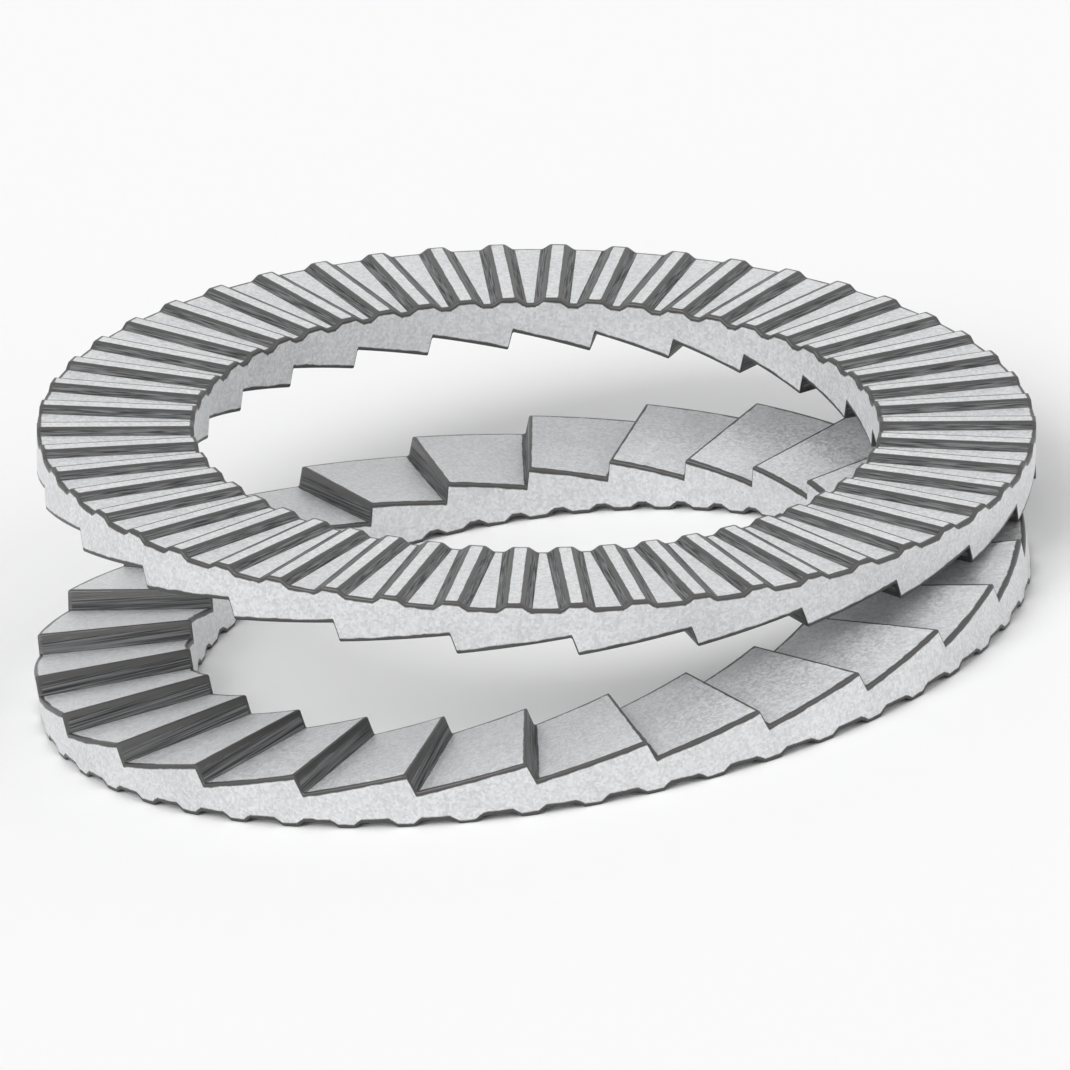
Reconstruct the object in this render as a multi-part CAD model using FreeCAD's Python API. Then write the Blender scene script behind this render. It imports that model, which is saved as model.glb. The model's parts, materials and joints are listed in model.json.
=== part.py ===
# Wedge-locking washer: two identical steel rings that work as a pair, cams facing each other.
# Each ring has radial teeth on its outer face, which bite the nut or the work, and large
# sawtooth cams on its inner face. A loosening turn makes the cams climb, which stretches the
# bolt and holds the joint. The cam ramps climb more steeply than the thread of the bolt.
#
# The pair is shown opened: the lower ring lies on its teeth, and the upper one, turned over,
# leans on it with one edge. The origin is on the axis of the lower ring, at the crests that it
# stands on. +Z is that axis, +X points to where the rings meet, and +Y to the far side.
import FreeCAD, Part
import math
import os

from FreeCAD import Placement, Rotation, Vector

# Driving sizes of one ring, in millimetres and degrees, for a 42 mm bolt
BORE_DIAMETER = 43.2
RING_WIDTH = 9.9          # from bore to rim
PAIR_THICKNESS = 5.8      # both rings together, over the teeth, with their cams in mesh

# Cams: long ramps that climb counter-clockwise, each ending in a steep riser
CAM_COUNT = 26
CAM_RISE = 1.2            # height from the foot of a ramp to its tip
CAM_TIP_LAND = 0.2        # width of the flat tip at the rim
RISER_DRAFT = 20.0        # angle of a riser from upright, at the rim

# Teeth: straight radial ribs of one section from bore to rim
TOOTH_COUNT = 50
TOOTH_HEIGHT = 0.35
TOOTH_CREST = 1.05        # width of the flat crest
TOOTH_FLANK = 0.5         # width of each sloping side
TOOTH_TURN = 2.7          # from the foot of a riser to the tooth beside it

# Opened pose of the pair
LOWER_TURN = 4.4          # from +X to the nearest riser of the lower ring
UPPER_TURN = 7.7          # the same for the upper ring, before it leans
LEAN = 8.66               # angle between the axes of the two rings
LEAN_BEARING = -10.8      # direction from +X in which the upper ring leans
SHIFT_TOWARDS = 2.2       # middle of the upper ring, seen from above, along +X
SHIFT_BACK = 8.7          # and along +Y
REST_GAP = 0.05           # left between the rings where they meet

# How far tools and stock run past the surfaces that they form
OVERRUN = 1.0

# Worked-out sizes
BORE_RADIUS = BORE_DIAMETER / 2
RIM_RADIUS = BORE_RADIUS + RING_WIDTH
CAM_PITCH = 360.0 / CAM_COUNT
RISER_ANGLE = math.degrees(CAM_RISE * math.tan(math.radians(RISER_DRAFT)) / RIM_RADIUS)
LAND_ANGLE = math.degrees(CAM_TIP_LAND / RIM_RADIUS)
RAMP_ANGLE = CAM_PITCH - RISER_ANGLE - LAND_ANGLE
MESHED_RISE = CAM_RISE * (RAMP_ANGLE + LAND_ANGLE) / RAMP_ANGLE
FOOT_HEIGHT = (PAIR_THICKNESS - MESHED_RISE) / 2
TIP_HEIGHT = FOOT_HEIGHT + CAM_RISE

ORIGIN = Vector(0, 0, 0)
X_AXIS = Vector(1, 0, 0)
Z_AXIS = Vector(0, 0, 1)


def about_z(angle):
    """Placement that turns a shape about the axis of the ring."""
    return Placement(ORIGIN, Rotation(Z_AXIS, angle))


def turned_ring(inside, outside, bottom, top):
    """Plain ring between two radii and two heights."""
    corners = [(inside, bottom), (outside, bottom), (outside, top), (inside, top)]
    outline = Part.makePolygon([Vector(r, 0, z) for r, z in corners + corners[:1]])
    return Part.Face(outline).revolve(ORIGIN, Z_AXIS, 360)


def stock():
    """Ring wider than the washer, from the grooves between the teeth to the cam tips."""
    return turned_ring(BORE_RADIUS - OVERRUN, RIM_RADIUS + OVERRUN, TOOTH_HEIGHT, TIP_HEIGHT)


def envelope():
    """The washer's bore and rim, taller than its teeth and cams."""
    return turned_ring(BORE_RADIUS, RIM_RADIUS, -OVERRUN, TIP_HEIGHT + OVERRUN)


def tooth():
    """One radial rib along +X, with its crest on z = 0 and its root sunk into the stock."""
    half_crest = TOOTH_CREST / 2
    half_root = half_crest + TOOTH_FLANK
    root_height = (TOOTH_HEIGHT + FOOT_HEIGHT) / 2
    near = BORE_RADIUS - OVERRUN / 2
    length = RIM_RADIUS + OVERRUN / 2 - near
    section = [
        (-half_crest, 0),
        (half_crest, 0),
        (half_root, TOOTH_HEIGHT),
        (half_root, root_height),
        (-half_root, root_height),
        (-half_root, TOOTH_HEIGHT),
    ]
    outline = Part.makePolygon([Vector(near, y, z) for y, z in section + section[:1]])
    return Part.Face(outline).extrude(X_AXIS * length)


def cam_cutter():
    """Space between two cams, with the foot of its riser along +X.

    The corners stand on radial lines, so the ramp and the riser keep one rise from bore to
    rim and grow only in width.
    """
    top = TIP_HEIGHT + OVERRUN
    corners = [
        (0, FOOT_HEIGHT),
        (RAMP_ANGLE, TIP_HEIGHT),
        (RAMP_ANGLE, top),
        (-RISER_ANGLE, top),
        (-RISER_ANGLE, TIP_HEIGHT),
    ]
    middle = RAMP_ANGLE / 2

    def outline(radius):
        points = [
            Vector(radius, radius * math.tan(math.radians(angle - middle)), height)
            for angle, height in corners + corners[:1]
        ]
        return Part.makePolygon(points)

    near = outline(BORE_RADIUS - 2 * OVERRUN)
    far = outline(RIM_RADIUS + 2 * OVERRUN)
    cutter = Part.makeLoft([near, far], True, True)
    cutter.Placement = about_z(middle)
    return cutter


def pattern(shape, count):
    """Copies of a shape, evenly spaced about the axis of the ring."""
    copies = []
    for number in range(count):
        copy = shape.copy()
        copy.Placement = about_z(number * 360.0 / count).multiply(shape.Placement)
        copies.append(copy)
    return copies


def ring():
    """One washer of the pair: teeth below, cams above, the foot of a riser at +X."""
    rib = tooth()
    rib.Placement = about_z(TOOTH_TURN)
    toothed = stock().fuse(pattern(rib, TOOTH_COUNT))
    cammed = toothed.cut(pattern(cam_cutter(), CAM_COUNT))
    return cammed.common(envelope()).removeSplitter().Solids[0]


def cam_face(washer):
    """The ramps, tips and risers of a ring: all that can touch the other ring."""
    return Part.makeCompound([face for face in washer.Faces if face.CenterOfMass.z > FOOT_HEIGHT])


def lowered(piece, support):
    """How far a piece above a support comes straight down, until the rest gap is left.

    A step as long as the room between the two never makes them meet.
    """
    start = piece.Placement.Base.z
    room = piece.distToShape(support)[0] - REST_GAP
    while room > REST_GAP / 10:
        piece.translate(Z_AXIS * -room)
        room = piece.distToShape(support)[0] - REST_GAP
    return start - piece.Placement.Base.z


def opened_pair():
    """The lower ring as it stands, and the upper one leaning on it."""
    lower = ring()
    upper = lower.copy()
    lower_cams = cam_face(lower)
    upper_cams = cam_face(upper)

    lower.Placement = about_z(LOWER_TURN)
    lower_cams.Placement = lower.Placement

    turned_over = Rotation(Z_AXIS, UPPER_TURN) * Rotation(X_AXIS, 180)
    towards = Rotation(Z_AXIS, LEAN_BEARING).multVec(X_AXIS)
    lean = Rotation(Z_AXIS.cross(towards), LEAN)
    well_above = 2 * RIM_RADIUS * math.sin(math.radians(LEAN)) + 2 * TIP_HEIGHT
    middle = Vector(SHIFT_TOWARDS, SHIFT_BACK, well_above)
    upper.Placement = Placement(middle, lean * turned_over)
    upper_cams.Placement = upper.Placement
    upper.translate(Z_AXIS * -lowered(upper_cams, lower_cams))
    return {"lower_washer": lower, "upper_washer": upper}


os.makedirs("parts", exist_ok=True)
for name, shape in opened_pair().items():
    shape.exportStep("parts/" + name + ".step")
    print(name, "valid", shape.isValid(), "volume", round(shape.Volume, 1))
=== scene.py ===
import json
import math

import bmesh
import bpy
from mathutils import Matrix, Vector


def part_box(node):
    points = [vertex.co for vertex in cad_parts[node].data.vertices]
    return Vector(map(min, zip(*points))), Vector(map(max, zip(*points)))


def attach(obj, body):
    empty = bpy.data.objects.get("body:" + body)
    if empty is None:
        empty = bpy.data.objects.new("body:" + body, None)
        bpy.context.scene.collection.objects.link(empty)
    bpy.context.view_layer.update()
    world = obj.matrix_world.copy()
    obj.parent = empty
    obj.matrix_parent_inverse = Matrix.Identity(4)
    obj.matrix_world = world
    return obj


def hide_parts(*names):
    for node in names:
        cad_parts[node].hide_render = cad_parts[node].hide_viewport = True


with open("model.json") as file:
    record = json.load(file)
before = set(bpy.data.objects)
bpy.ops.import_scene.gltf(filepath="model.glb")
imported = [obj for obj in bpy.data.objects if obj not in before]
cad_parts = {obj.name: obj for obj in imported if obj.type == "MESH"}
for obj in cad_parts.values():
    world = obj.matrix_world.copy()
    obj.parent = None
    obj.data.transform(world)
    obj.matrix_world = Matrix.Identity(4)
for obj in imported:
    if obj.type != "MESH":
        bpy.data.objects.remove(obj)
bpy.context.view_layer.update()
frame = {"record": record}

MM = 0.001

# Sizes of a ring, from the frame
mounts = {mount["name"]: mount for mount in frame["record"]["mounts"]}
box_low, box_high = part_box("lower_washer")
BORE_RADIUS = mounts["lower_bore"]["dims"]["r_mm"] * MM
RIM_RADIUS = (box_high[0] - box_low[0]) / 2
TIP_HEIGHT = mounts["lower_bore"]["dims"]["length_mm"] * MM

# Cams: ramps that climb counter-clockwise, each ending in a steep riser
CAM_COUNT = 26
CAM_RISE = 1.2 * MM
RISER_ANGLE = math.radians(0.79)     # seen along the axis
RAMP_ANGLE = math.tau / CAM_COUNT - RISER_ANGLE
FOOT_HEIGHT = TIP_HEIGHT - CAM_RISE

# Teeth: ribs of one section from bore to rim
TOOTH_COUNT = 50
TOOTH_HEIGHT = 0.35 * MM
TOOTH_CREST = 1.05 * MM
TOOTH_FLANK = 0.5 * MM
TOOTH_TURN = math.radians(2.7)       # from the foot of a riser to the tooth beside it
HALF_PITCH = math.pi / TOOTH_COUNT

# Lines of points, as shares of a form's width. There are as many round the cams as round the
# teeth, so that the walls between them are made of four-sided faces.
RAMP_ROWS = 23
RISER_LINES = (0.5, 1)
GROOVE_LINES = (0, 0.3)              # from the middle of a groove at the bore towards a flank
FLANK_LINES = (1, 0.5)               # from the foot of a flank to its crest
CREST_LINES = (1, 0.6)               # from the edge of a crest to its middle
FOOT_REACH = 0.16 * MM               # from the foot of a flank to the clean groove
EDGE_REACH = 0.4 * MM                # from an edge at bore or rim to the first line of points

# Rounded edges
EDGE_ROUND = 0.12 * MM
EDGE_STEPS = 3
SHARP_EDGE = math.radians(25)        # a turn of the surface from which an edge is rounded
SMOOTH_ANGLE = math.radians(40)      # and up to which its shading is smooth
WELD = 0.003 * MM                    # points nearer than this are one

# Where the coat wears off or stays dark
WEAR_TURN = math.radians(10)         # a turn of the surface that counts fully
WALL_SHARE = 0.5                     # of a normal along the radius, from which it is a wall's
FLANK_SLOPE = math.cos(math.radians(28))    # of a normal upwards, below which it is a flank's

# Colours of the coat, of its flakes, of the shade painted on its flanks, risers and creases, and
# of the steel under it
COAT_DARK = (0.62, 0.628, 0.637, 1)
COAT_LIGHT = (0.77, 0.776, 0.783, 1)
FLAKE_DARK = (0.5, 0.508, 0.517, 1)
FLAKE_LIGHT = (0.88, 0.885, 0.89, 1)
# Painted shade: near black on flanks, risers and creases, lighter along the tool lines
PAINTED_SHADE_DARK = (0.02, 0.021, 0.022, 1)
PAINTED_SHADE_LIGHT = (0.19, 0.192, 0.195, 1)
WORN_COLOUR = (0.1, 0.098, 0.096, 1)
FLAKE_SHARE = 0.45                   # of the coat's colour
LINE_SHARE = 0.4                     # of the coat's light and dark, against its clouds

# Gloss of the coat, of the places where shade is painted on it, and of the worn steel
FLAKE_ROUGHNESS = (0.44, 0.62)
PAINTED_SHADE_ROUGHNESS = 0.65
WORN_ROUGHNESS = 0.38
COAT_METALLIC = 0.75
PAINTED_SHADE_METALLIC = 0.2
WORN_METALLIC = 0.85
RELIEF_DEPTH = 0.02 * MM
RELIEF_STRENGTH = 0.5
RELIEF_FLAKES = 0.35                 # of the relief, against the tool lines

# Patterns. Scales are per metre, and those of lines are on a circle of radius one.
MASK_SCALE = 900.0
MASK_DETAIL = 4.0
MASK_UNEVENNESS = 0.8
MASK_START = 0.36
MASK_END = 0.7
FLAKE_SCALE = 6000.0
CLOUD_SCALE = 150.0
CLOUD_DETAIL = 4.0
LINE_SCALE = 300.0
LINE_DETAIL = 2.0
LINE_DRIFT = 1.5                     # how fast a line changes along itself
LINE_PITCH = 35.0                    # and across itself, up a riser
NOISE_LOW = 0.35                     # noise below and above these is darkest and lightest
NOISE_MIDDLE = 0.5
NOISE_HIGH = 0.65

# Lamps, each given by the direction that it shines from
KEY_FROM = (-0.45, -0.4, 0.6)
KEY_SPREAD = math.radians(45)
KEY_STRENGTH = 1.35
FILL_FROM = (0.6, -0.35, 0.4)
FILL_SPREAD = math.radians(60)
FILL_STRENGTH = 0.5
SKY_COLOUR = (1, 1, 1, 1)
SKY_STRENGTH = 0.6
SKY_SEEN = 0.955                     # the sky's tone in the picture and in reflections

# Floor
FLOOR_SIZE = 6.0
FLOOR_COLOUR = (0.97, 0.97, 0.97, 1)
FLOOR_ROUGHNESS = 0.9

# Camera: almost without perspective, and rolled as the drawing is
VIEW_ELEVATION = math.radians(20.0)
VIEW_ROLL = math.radians(9.14)
AIM_RIGHT = -0.06 * MM               # middle of the picture, from the lower ring's middle
AIM_UP = 6.48 * MM
PICTURE_WIDTH = 67.3 * MM
LENS = 1100.0
SENSOR = 36.0
VIEW_DEPTH = 4                       # how far the camera sees, in distances to the rings


def edit_mesh():
    """The mesh being edited."""
    return bmesh.from_edit_mesh(bpy.context.object.data)


def select_vertices(wanted):
    """Select the vertices that a test on their place accepts, and what lies between them."""
    bpy.ops.mesh.select_mode(type="VERT")
    bpy.ops.mesh.select_all(action="DESELECT")
    for vertex in edit_mesh().verts:
        vertex.select = wanted(vertex.co)
    edit_mesh().select_flush(True)


def select_open_edges(wanted):
    """Select the edges of one face only, where a test on both ends accepts them."""
    bpy.ops.mesh.select_mode(type="EDGE")
    bpy.ops.mesh.select_all(action="DESELECT")
    for edge in edit_mesh().edges:
        edge.select = edge.is_boundary and all(wanted(vertex.co) for vertex in edge.verts)
    edit_mesh().select_flush(False)


def select_object(piece):
    """Select one object alone and make it the active one."""
    bpy.ops.object.select_all(action="DESELECT")
    piece.select_set(True)
    bpy.context.view_layer.objects.active = piece


def turn(angle):
    """Turn the selection counter-clockwise about the ring's axis.

    Without a window the operator turns the other way, so it is given the negative angle.
    """
    bpy.ops.transform.rotate(value=-angle, orient_axis="Z", center_override=(0, 0, 0))


def radial_edge(name):
    """Object in edit mode: one line from bore to rim along +X, with a point near each end."""
    bpy.ops.object.select_all(action="DESELECT")
    length = RIM_RADIUS - BORE_RADIUS - 2 * EDGE_REACH
    middle = (RIM_RADIUS + BORE_RADIUS) / 2
    bpy.ops.mesh.primitive_plane_add(size=length, location=(middle, length / 2, 0))
    bpy.ops.object.transform_apply(location=True, rotation=True, scale=True)
    bpy.context.object.name = name
    bpy.ops.object.mode_set(mode="EDIT")
    select_vertices(lambda place: place.y > length / 2)
    bpy.ops.mesh.delete(type="VERT")
    for end in (-1, 1):
        select_vertices(lambda place: (place.x - middle) * end > 0)
        outwards = {"value": (end * EDGE_REACH, 0, 0)}
        bpy.ops.mesh.extrude_region_move(TRANSFORM_OT_translate=outwards)
    bpy.ops.mesh.select_all(action="SELECT")
    return bpy.context.object


def ring_face(name, lines, count):
    """One face of a ring: a line from bore to rim drawn through its places, then spun round.

    A place is a turn about the axis, an offset to the side before that turn, and a height.
    """
    piece = radial_edge(name)
    last_turn, last_side, last_height = 0, 0, 0
    for number, (new_turn, side, height) in enumerate(lines):
        if number:
            bpy.ops.mesh.extrude_region_move()
        turn(-last_turn)
        bpy.ops.transform.translate(value=(0, side - last_side, height - last_height))
        turn(new_turn)
        last_turn, last_side, last_height = new_turn, side, height
    bpy.ops.mesh.select_all(action="SELECT")
    bpy.ops.mesh.spin(
        steps=count - 1,
        dupli=True,
        angle=math.tau * (count - 1) / count,
        center=(0, 0, 0),
        axis=(0, 0, 1),
    )
    bpy.ops.mesh.select_all(action="SELECT")
    bpy.ops.mesh.remove_doubles(threshold=WELD)
    bpy.ops.object.mode_set(mode="OBJECT")
    return piece


def cam_lines():
    """Lines of one cam: up its ramp and down its riser."""
    lines = []
    for row in range(RAMP_ROWS + 1):
        share = row / RAMP_ROWS
        lines.append((share * RAMP_ANGLE - TOOTH_TURN, 0, FOOT_HEIGHT + share * CAM_RISE))
    for share in RISER_LINES:
        angle = RAMP_ANGLE + share * RISER_ANGLE - TOOTH_TURN
        lines.append((angle, 0, TIP_HEIGHT - share * CAM_RISE))
    return lines


def tooth_lines():
    """Lines of one tooth, from groove to groove. It has parallel sides, so grooves widen."""
    half_crest = TOOTH_CREST / 2
    foot = half_crest + TOOTH_FLANK
    half_groove = HALF_PITCH - math.asin(foot / BORE_RADIUS)
    half = [(HALF_PITCH - share * half_groove, 0, TOOTH_HEIGHT) for share in GROOVE_LINES]
    half += [(0, foot + FOOT_REACH, TOOTH_HEIGHT)]
    half += [(0, half_crest + share * TOOTH_FLANK, share * TOOTH_HEIGHT) for share in FLANK_LINES]
    half += [(0, share * half_crest, 0) for share in CREST_LINES]
    return [(-angle, -side, height) for angle, side, height in half] + half[::-1]


def wall(radius):
    """Close the ring between its two faces, with a line of points near each edge.

    Lines that don't point at the middle end a little off the wall, so their ends are set on it.
    """

    def on_wall(place):
        return abs(place.xy.length - radius) < EDGE_REACH / 2

    for vertex in edit_mesh().verts:
        if on_wall(vertex.co):
            vertex.co.xy *= radius / vertex.co.xy.length
    select_open_edges(lambda place: on_wall(place) and place.z < TOOTH_HEIGHT + WELD)
    bpy.ops.mesh.extrude_region_move(TRANSFORM_OT_translate={"value": (0, 0, EDGE_REACH)})
    select_open_edges(lambda place: on_wall(place) and place.z > FOOT_HEIGHT - WELD)
    bpy.ops.mesh.extrude_region_move(TRANSFORM_OT_translate={"value": (0, 0, -EDGE_REACH)})
    select_open_edges(on_wall)
    bpy.ops.mesh.bridge_edge_loops()


def round_edges():
    """Round every sharp edge of the mesh being edited, and split the odd faces this leaves."""
    bpy.ops.mesh.select_mode(type="EDGE")
    bpy.ops.mesh.select_all(action="DESELECT")
    bpy.ops.mesh.edges_select_sharp(sharpness=SHARP_EDGE)
    bpy.ops.mesh.bevel(
        offset=EDGE_ROUND,
        segments=EDGE_STEPS,
        miter_outer="PATCH",
        clamp_overlap=False,
    )
    bpy.ops.mesh.select_mode(type="FACE")
    bpy.ops.mesh.select_all(action="DESELECT")
    bpy.ops.mesh.select_face_by_sides(number=4, type="GREATER")
    bpy.ops.mesh.quads_convert_to_tris(quad_method="BEAUTY", ngon_method="BEAUTY")


def washer():
    """One ring about its own axis: teeth on z = 0, cams above, rounded edges."""
    cams = ring_face("cams", cam_lines(), CAM_COUNT)
    piece = ring_face("teeth", tooth_lines(), TOOTH_COUNT)
    select_object(piece)
    cams.select_set(True)
    bpy.ops.object.join()
    bpy.ops.object.mode_set(mode="EDIT")
    wall(BORE_RADIUS)
    wall(RIM_RADIUS)
    bpy.ops.mesh.select_all(action="SELECT")
    bpy.ops.mesh.remove_doubles(threshold=WELD)
    bpy.ops.mesh.normals_make_consistent(inside=False)
    round_edges()
    bpy.ops.object.mode_set(mode="OBJECT")
    bpy.ops.object.shade_smooth_by_angle(angle=SMOOTH_ANGLE)
    bpy.ops.object.modifier_add(type="WEIGHTED_NORMAL")
    smoothing = piece.modifiers[-1]
    smoothing.keep_sharp = True
    bpy.ops.object.modifier_apply(modifier=smoothing.name)
    return piece


def add_attribute(piece, name, kind, field, values):
    """Keep a value for each point of a piece, for its material to read."""
    attribute = piece.data.attributes.new(name=name, type=kind, domain="POINT")
    attribute.data.foreach_set(field, values)


def mark_coat(piece):
    """Mark the points where the coat wears through, and where shade is painted dark.

    Both follow from how the surface turns at a point. Shade is painted into creases, and fully
    on the steep flanks and risers. The points also keep their place in the ring, for marks that
    run across it.
    The points also keep their place in the ring, for marks that run across it.
    """
    shape = bmesh.new()
    shape.from_mesh(piece.data)
    wear = []
    painted_shade_mark = []
    places = []
    for vertex in shape.verts:
        turns = [edge.calc_face_angle_signed() for edge in vertex.link_edges]
        wear.append(min(max(turns) / WEAR_TURN, 1.0))
        # Walls get no painted shade; steep flanks and risers get it fully, and creases as far as
        # they turn
        if abs(vertex.normal.xy.dot(vertex.co.xy.normalized())) > WALL_SHARE:
            painted_shade_mark.append(0.0)
        elif abs(vertex.normal.z) < FLANK_SLOPE:
            painted_shade_mark.append(1.0)
        else:
            painted_shade_mark.append(min(-min(turns) / WEAR_TURN, 1.0))
        places.extend(vertex.co)
    shape.free()
    add_attribute(piece, "wear", "FLOAT", "value", wear)
    add_attribute(piece, "painted_shade_mark", "FLOAT", "value", painted_shade_mark)
    add_attribute(piece, "ring_place", "FLOAT_VECTOR", "vector", places)


def copy_of(piece):
    """Copy of a piece, with its own mesh."""
    select_object(piece)
    bpy.ops.object.duplicate(linked=False)
    return bpy.context.object


def standing_place(name):
    """Where a ring stands: its axis from its bore, its turn from a tooth."""
    bore = mounts[name + "_bore"]
    middle = Vector(bore["pos_m"])
    up = -Vector(bore["axis"])
    to_tooth = Vector(mounts[name + "_teeth"]["pos_m"]) - middle
    along = (to_tooth - to_tooth.dot(up) * up).normalized()
    place = Matrix((along, up.cross(along), up)).transposed().to_4x4()
    place.translation = middle
    return place


def stand(piece, name):
    """Bring a ring to its place, which then lies in its mesh, and let it stand for its node."""
    node = name + "_washer"
    piece.name = node + "_ring"
    piece.data.name = piece.name
    piece.matrix_world = standing_place(name)
    select_object(piece)
    bpy.ops.object.transform_apply(location=True, rotation=True, scale=True)
    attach(piece, "root")
    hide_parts(node)


def new_node(tree, kind, values=None, **settings):
    """Node with its settings, and values or links for its inputs."""
    node = tree.nodes.new(kind)
    for name, setting in settings.items():
        setattr(node, name, setting)
    for name, value in (values or {}).items():
        if isinstance(value, bpy.types.NodeSocket):
            tree.links.new(value, node.inputs[name])
        else:
            node.inputs[name].default_value = value
    return node


def new_group(name, inputs, outputs):
    """Shader node group with number inputs and their usual values, and number outputs."""
    group = bpy.data.node_groups.new(name, "ShaderNodeTree")
    number = "NodeSocketFloat"
    for socket_name, value in inputs.items():
        socket = group.interface.new_socket(socket_name, in_out="INPUT", socket_type=number)
        socket.default_value = value
    for socket_name in outputs:
        group.interface.new_socket(socket_name, in_out="OUTPUT", socket_type=number)
    entry = group.nodes.new("NodeGroupInput").outputs
    leave = group.nodes.new("NodeGroupOutput").inputs
    return group, entry, leave


def mixed(tree, kind, share, first, second):
    """Mix of two numbers (FLOAT) or two colours (RGBA), each a value or a link.

    The node has sockets for every kind, and only those of the kind set are enabled.
    """
    node = tree.nodes.new("ShaderNodeMix")
    node.data_type = kind
    sockets = [socket for socket in node.inputs if socket.enabled]
    for socket, value in zip(sockets, (share, first, second)):
        if isinstance(value, bpy.types.NodeSocket):
            tree.links.new(value, socket)
        else:
            socket.default_value = value
    return next(socket for socket in node.outputs if socket.enabled)


def combined(tree, operation, *values):
    """Result of a Math node."""
    node = new_node(tree, "ShaderNodeMath", dict(enumerate(values)), operation=operation)
    return node.outputs[0]


def contrasted(tree, noise):
    """Noise, which keeps near one half, spread over the whole range."""
    values = {"Value": noise.outputs["Fac"], "From Min": NOISE_LOW, "From Max": NOISE_HIGH}
    return new_node(tree, "ShaderNodeMapRange", values).outputs["Result"]


def patchy_mask():
    """Mask with an uneven edge, from an amount that fades over the surface."""
    usual = {
        "Amount": 0.0,
        "Start": MASK_START,
        "End": MASK_END,
        "Unevenness": MASK_UNEVENNESS,
        "Scale": MASK_SCALE,
    }
    group, entry, leave = new_group("patchy_mask", usual, ["Mask"])
    place = new_node(group, "ShaderNodeTexCoord").outputs["Object"]
    pattern = {"Vector": place, "Scale": entry["Scale"], "Detail": MASK_DETAIL}
    noise = new_node(group, "ShaderNodeTexNoise", pattern)
    offset = combined(group, "SUBTRACT", noise.outputs["Fac"], NOISE_MIDDLE)
    uneven = combined(group, "MULTIPLY_ADD", offset, entry["Unevenness"], entry["Amount"])
    mask = new_node(
        group,
        "ShaderNodeMapRange",
        {"Value": uneven, "From Min": entry["Start"], "From Max": entry["End"]},
        interpolation_type="SMOOTHSTEP",
    )
    group.links.new(mask.outputs["Result"], leave["Mask"])
    return group


def flake_grain():
    """Fine metal flakes: a random tone for each, and uneven clouds of the coat."""
    usual = {"Flake Scale": FLAKE_SCALE, "Cloud Scale": CLOUD_SCALE}
    group, entry, leave = new_group("flake_grain", usual, ["Flake", "Cloud"])
    place = new_node(group, "ShaderNodeTexCoord").outputs["Object"]
    cells = {"Vector": place, "Scale": entry["Flake Scale"]}
    flakes = new_node(group, "ShaderNodeTexVoronoi", cells)
    tone = new_node(group, "ShaderNodeSeparateColor", {"Color": flakes.outputs["Color"]})
    pattern = {"Vector": place, "Scale": entry["Cloud Scale"], "Detail": CLOUD_DETAIL}
    cloud = new_node(group, "ShaderNodeTexNoise", pattern)
    group.links.new(tone.outputs["Red"], leave["Flake"])
    group.links.new(contrasted(group, cloud), leave["Cloud"])
    return group


def tool_lines(tree, painted_shade_mark):
    """Fine lines left by the tools: from bore to rim on the faces, and upright on the walls."""
    place = new_node(tree, "ShaderNodeAttribute", attribute_name="ring_place").outputs["Vector"]
    parts = new_node(tree, "ShaderNodeSeparateXYZ", {"Vector": place}).outputs
    flat = new_node(tree, "ShaderNodeCombineXYZ", {"X": parts["X"], "Y": parts["Y"]}).outputs[0]
    radius = new_node(tree, "ShaderNodeVectorMath", {0: flat}, operation="LENGTH")
    bearing = new_node(tree, "ShaderNodeVectorMath", {0: flat}, operation="NORMALIZE")
    outwards = combined(tree, "MULTIPLY", radius.outputs["Value"], LINE_DRIFT)
    pace = mixed(tree, "FLOAT", painted_shade_mark, LINE_DRIFT, LINE_PITCH)
    upwards = combined(tree, "MULTIPLY_ADD", parts["Z"], pace, outwards)
    drift = new_node(tree, "ShaderNodeCombineXYZ", {"Z": upwards}).outputs[0]
    both = {0: bearing.outputs[0], 1: drift}
    stretched = new_node(tree, "ShaderNodeVectorMath", both, operation="ADD")
    pattern = {"Vector": stretched.outputs[0], "Scale": LINE_SCALE, "Detail": LINE_DETAIL}
    return contrasted(tree, new_node(tree, "ShaderNodeTexNoise", pattern))


def masked(tree, masks, attribute_name):
    """A mark on the points, and the patchy mask that it gives."""
    mark = new_node(tree, "ShaderNodeAttribute", attribute_name=attribute_name).outputs["Fac"]
    mask = new_node(tree, "ShaderNodeGroup", node_tree=masks)
    tree.links.new(mark, mask.inputs["Amount"])
    return mark, mask.outputs["Mask"]


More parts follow.
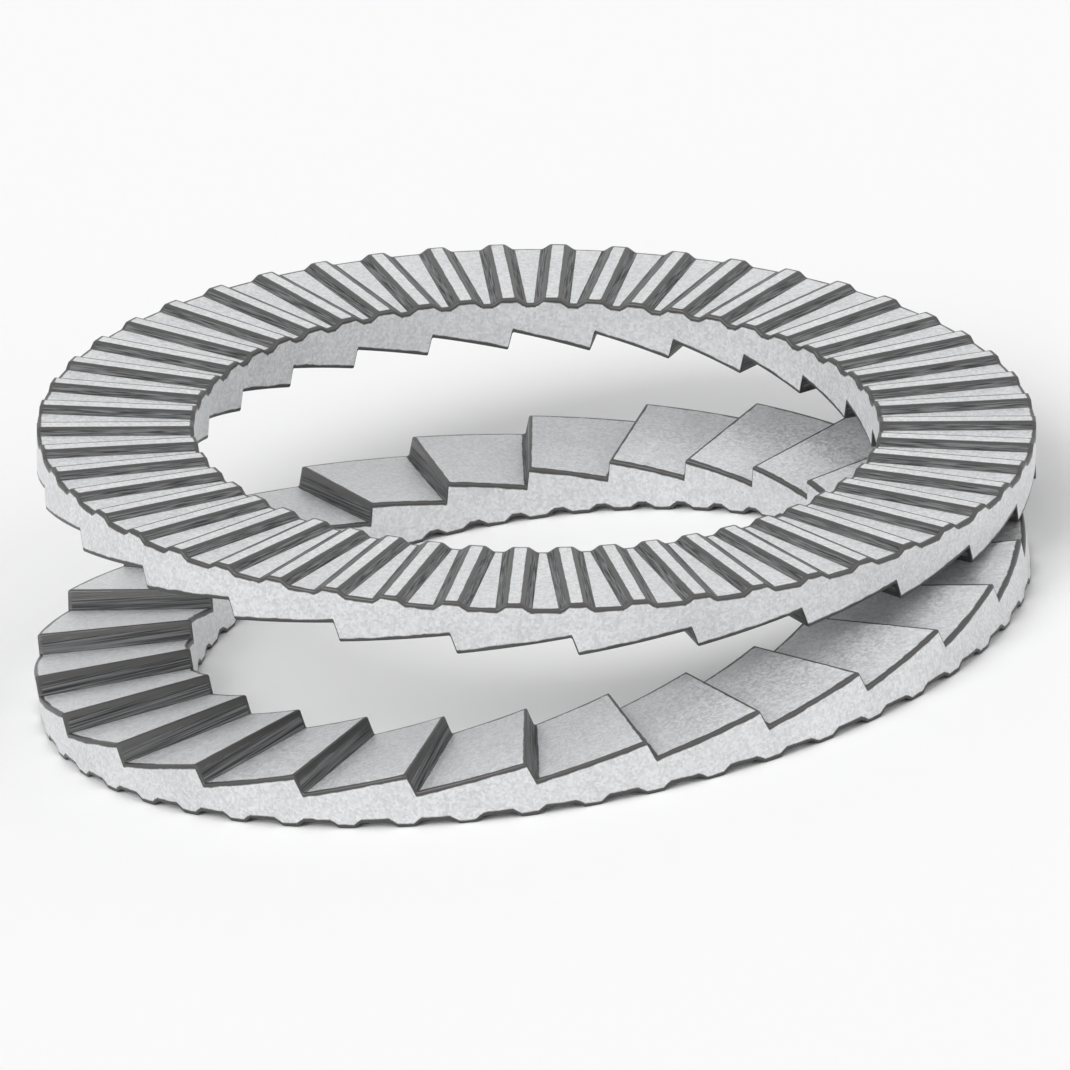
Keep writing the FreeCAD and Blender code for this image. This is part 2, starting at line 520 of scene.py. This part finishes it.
def coated_steel():
    """Silver-grey zinc flake coat, with shade painted dark on its flanks, risers and creases,
    worn to the steel along its edges.
    """
    material = bpy.data.materials.new("coated_steel")
    material.use_nodes = True
    tree = material.node_tree
    shader = tree.nodes["Principled BSDF"]
    masks = patchy_mask()
    _, worn = masked(tree, masks, "wear")
    # Mask of the shade painted on flanks, risers and creases
    painted_shade_mark, painted_shade_mask = masked(tree, masks, "painted_shade_mark")
    grain = new_node(tree, "ShaderNodeGroup", node_tree=flake_grain())
    flake = grain.outputs["Flake"]
    lines = tool_lines(tree, painted_shade_mark)

    tone = mixed(tree, "FLOAT", LINE_SHARE, grain.outputs["Cloud"], lines)
    coat = mixed(tree, "RGBA", tone, COAT_DARK, COAT_LIGHT)
    flakes = mixed(tree, "RGBA", flake, FLAKE_DARK, FLAKE_LIGHT)
    coat = mixed(tree, "RGBA", FLAKE_SHARE, coat, flakes)
    # Painted shade: near black, lighter along the tool lines
    painted_shade_colour = mixed(tree, "RGBA", lines, PAINTED_SHADE_DARK, PAINTED_SHADE_LIGHT)
    colour = mixed(tree, "RGBA", painted_shade_mask, coat, painted_shade_colour)
    colour = mixed(tree, "RGBA", worn, colour, WORN_COLOUR)
    tree.links.new(colour, shader.inputs["Base Color"])

    roughness = mixed(tree, "FLOAT", flake, *FLAKE_ROUGHNESS)
    # Where shade is painted, the coat is rougher and less metallic
    roughness = mixed(tree, "FLOAT", painted_shade_mask, roughness, PAINTED_SHADE_ROUGHNESS)
    roughness = mixed(tree, "FLOAT", worn, roughness, WORN_ROUGHNESS)
    tree.links.new(roughness, shader.inputs["Roughness"])
    metallic = mixed(tree, "FLOAT", painted_shade_mask, COAT_METALLIC, PAINTED_SHADE_METALLIC)
    metallic = mixed(tree, "FLOAT", worn, metallic, WORN_METALLIC)
    tree.links.new(metallic, shader.inputs["Metallic"])

    height = mixed(tree, "FLOAT", RELIEF_FLAKES, lines, flake)
    relief = {"Height": height, "Strength": RELIEF_STRENGTH, "Distance": RELIEF_DEPTH}
    bump = new_node(tree, "ShaderNodeBump", relief)
    tree.links.new(bump.outputs["Normal"], shader.inputs["Normal"])
    return material


def soft_lamp(name, direction, spread, strength):
    """Far, wide lamp in a direction. It lights the whole floor alike."""
    turned = Vector(direction).to_track_quat("Z", "Y").to_euler()
    bpy.ops.object.light_add(type="SUN", location=direction, rotation=turned)
    lamp = bpy.context.object
    lamp.name = name
    lamp.data.angle = spread
    lamp.data.energy = strength


def pale_floor():
    """Pale floor, wider than any view of the rings."""
    bpy.ops.object.select_all(action="DESELECT")
    bpy.ops.mesh.primitive_plane_add(size=FLOOR_SIZE, location=(0, 0, 0))
    floor = bpy.context.object
    floor.name = "floor"
    material = bpy.data.materials.new("pale_floor")
    material.use_nodes = True
    shader = material.node_tree.nodes["Principled BSDF"]
    shader.inputs["Base Color"].default_value = FLOOR_COLOUR
    shader.inputs["Roughness"].default_value = FLOOR_ROUGHNESS
    floor.data.materials.append(material)


def white_sky():
    """Even light from all round, which looks white in the picture and in reflections."""
    world = bpy.data.worlds.new("white_sky")
    bpy.context.scene.world = world
    world.use_nodes = True
    tree = world.node_tree
    rays = new_node(tree, "ShaderNodeLightPath").outputs
    mirrored = combined(tree, "MAXIMUM", rays["Is Glossy Ray"], rays["Is Transmission Ray"])
    seen = combined(tree, "MAXIMUM", rays["Is Camera Ray"], mirrored)
    strength = mixed(tree, "FLOAT", seen, SKY_STRENGTH, SKY_SEEN)
    background = tree.nodes["Background"]
    background.inputs["Color"].default_value = SKY_COLOUR
    tree.links.new(strength, background.inputs["Strength"])


def picture_camera():
    """Camera at the drawing's angle, aimed at the middle of its picture."""
    tilt = Matrix.Rotation(math.radians(90) - VIEW_ELEVATION, 4, "X")
    facing = tilt @ Matrix.Rotation(-VIEW_ROLL, 4, "Z")
    distance = PICTURE_WIDTH * LENS / SENSOR
    bpy.ops.object.camera_add()
    camera = bpy.context.object
    camera.name = "picture_camera"
    camera.matrix_world = facing @ Matrix.Translation((AIM_RIGHT, AIM_UP, distance))
    camera.data.lens = LENS
    camera.data.sensor_width = SENSOR
    camera.data.clip_end = VIEW_DEPTH * distance
    bpy.context.scene.camera = camera


lower = washer()
mark_coat(lower)
lower.data.materials.append(coated_steel())
upper = copy_of(lower)
stand(lower, "lower")
stand(upper, "upper")

soft_lamp("key_lamp", KEY_FROM, KEY_SPREAD, KEY_STRENGTH)
soft_lamp("fill_lamp", FILL_FROM, FILL_SPREAD, FILL_STRENGTH)
pale_floor()
white_sky()
picture_camera()
bpy.context.scene.view_settings.view_transform = "Standard"
